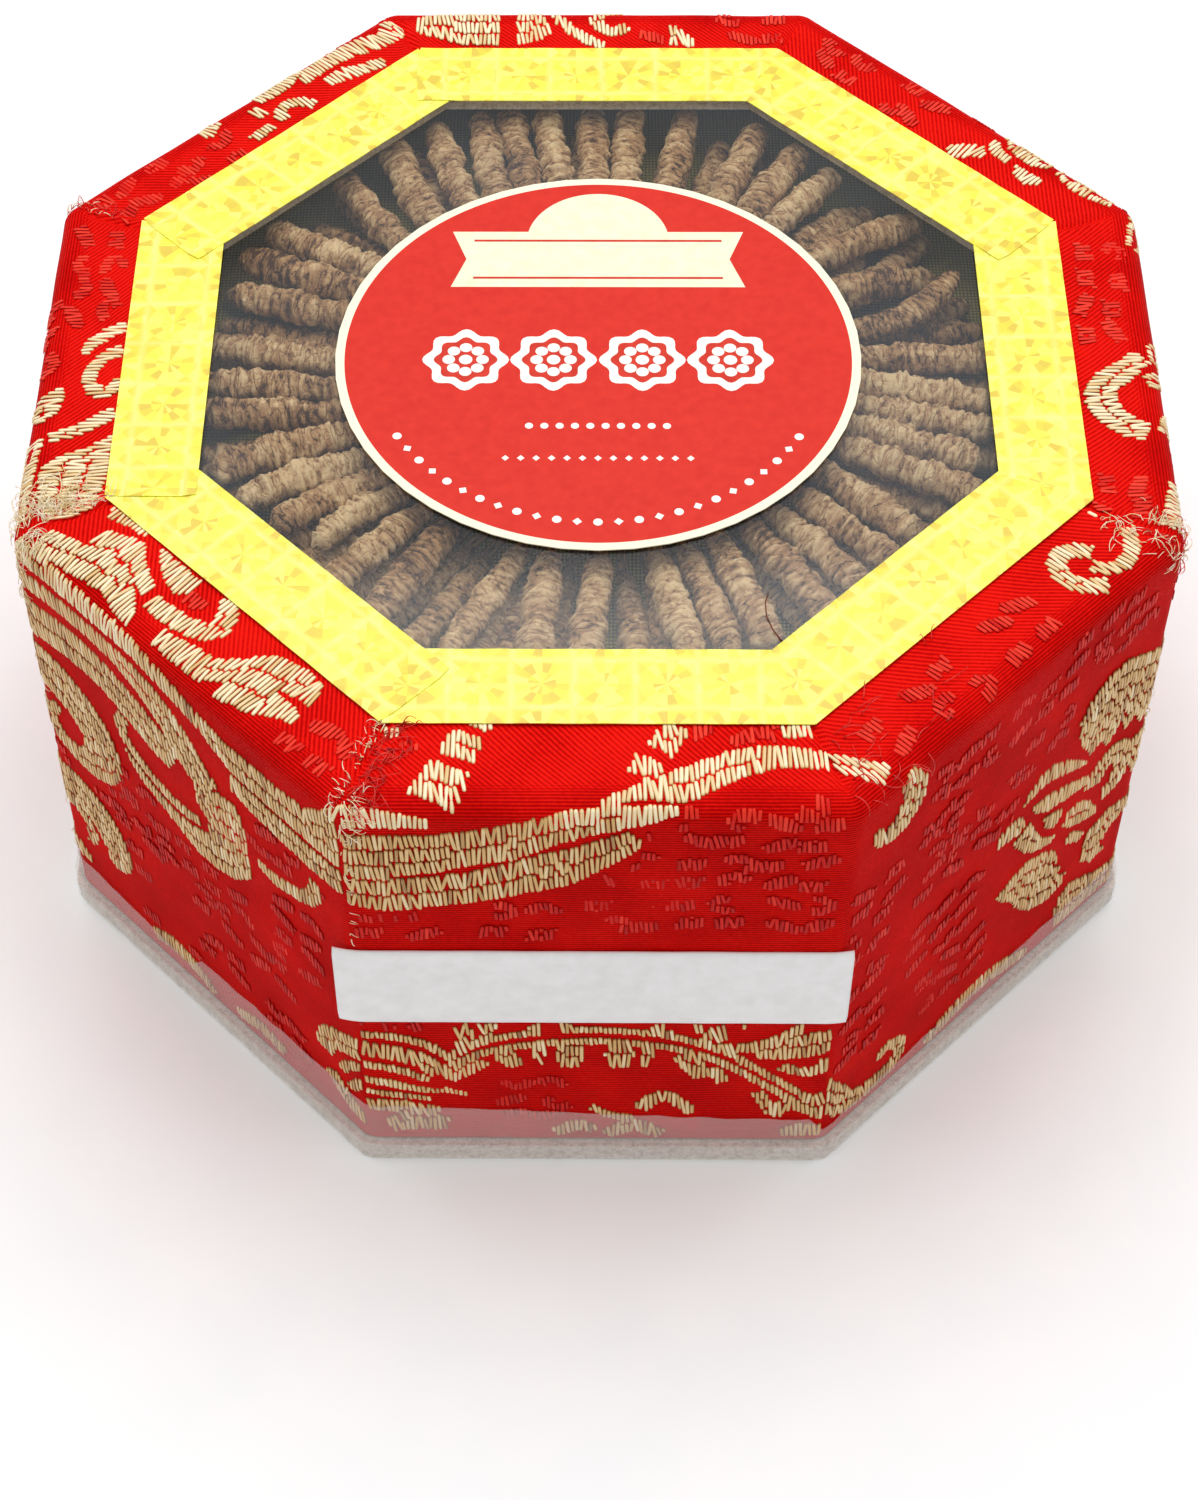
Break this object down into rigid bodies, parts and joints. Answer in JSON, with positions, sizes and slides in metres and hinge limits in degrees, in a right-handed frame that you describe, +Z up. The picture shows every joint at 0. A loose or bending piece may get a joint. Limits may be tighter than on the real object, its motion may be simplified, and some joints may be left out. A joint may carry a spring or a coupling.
{
  "type": "boxed dried cordyceps",
  "caption": "Octagonal brocade-covered gift box, sealed with foil tape, with dried cordyceps laid in a ring like spokes under a clear window.",
  "frame": {"origin": "middle of the box's underside", "axes": "+Z up out of the window; -Y is the front face, which carries the paper strip; +X is to its right"},
  "size_m": [0.152, 0.152, 0.0782],
  "materials": {
    "greyboard": "bare grey pulp board",
    "red_brocade": "red satin brocade with raised gold thread",
    "clear_film": "clear glossy plastic sheet",
    "label_paper": "coated paper, red with a cream border",
    "strip_paper": "plain white paper strip",
    "gold_foil_tape": "pale gold patterned foil tape",
    "clear_tape": "clear packing tape",
    "gold_silk": "gold-green woven silk",
    "lower_layers": "dried wrinkled husk",
    "dried_husk": "dried wrinkled husk, matt"
  },
  "bodies": {
    "root": {"base_board": "greyboard", "brocade_cover": "red_brocade", "cordyceps_01": "dried_husk", "cordyceps_02": "dried_husk", "cordyceps_03": "dried_husk", "cordyceps_04": "dried_husk", "cordyceps_05": "dried_husk", "cordyceps_06": "dried_husk", "cordyceps_07": "dried_husk", "cordyceps_08": "dried_husk", "cordyceps_09": "dried_husk", "cordyceps_10": "dried_husk", "cordyceps_11": "dried_husk", "cordyceps_12": "dried_husk", "cordyceps_13": "dried_husk", "cordyceps_14": "dried_husk", "cordyceps_15": "dried_husk", "cordyceps_16": "dried_husk", "cordyceps_17": "dried_husk", "cordyceps_18": "dried_husk", "cordyceps_19": "dried_husk", "cordyceps_20": "dried_husk", "cordyceps_21": "dried_husk", "cordyceps_22": "dried_husk", "cordyceps_23": "dried_husk", "cordyceps_24": "dried_husk", "cordyceps_25": "dried_husk", "cordyceps_26": "dried_husk", "cordyceps_27": "dried_husk", "cordyceps_28": "dried_husk", "cordyceps_29": "dried_husk", "cordyceps_30": "dried_husk", "cordyceps_31": "dried_husk", "cordyceps_32": "dried_husk", "cordyceps_33": "dried_husk", "cordyceps_34": "dried_husk", "cordyceps_35": "dried_husk", "cordyceps_36": "dried_husk", "cordyceps_37": "dried_husk", "cordyceps_38": "dried_husk", "cordyceps_39": "dried_husk", "cordyceps_40": "dried_husk", "cordyceps_41": "dried_husk", "cordyceps_42": "dried_husk", "cordyceps_bed": "lower_layers", "cushion": "gold_silk", "foil_strip_1": "gold_foil_tape", "foil_strip_2": "gold_foil_tape", "foil_strip_3": "gold_foil_tape", "foil_strip_4": "gold_foil_tape", "foil_strip_5": "gold_foil_tape", "foil_strip_6": "gold_foil_tape", "foil_strip_7": "gold_foil_tape", "foil_strip_8": "gold_foil_tape", "round_label": "label_paper", "seal_tape": "clear_tape", "strip_label": "strip_paper", "top_board": "greyboard", "wall_board": "greyboard", "window_pane": "clear_film"}
  },
  "joints": []
}
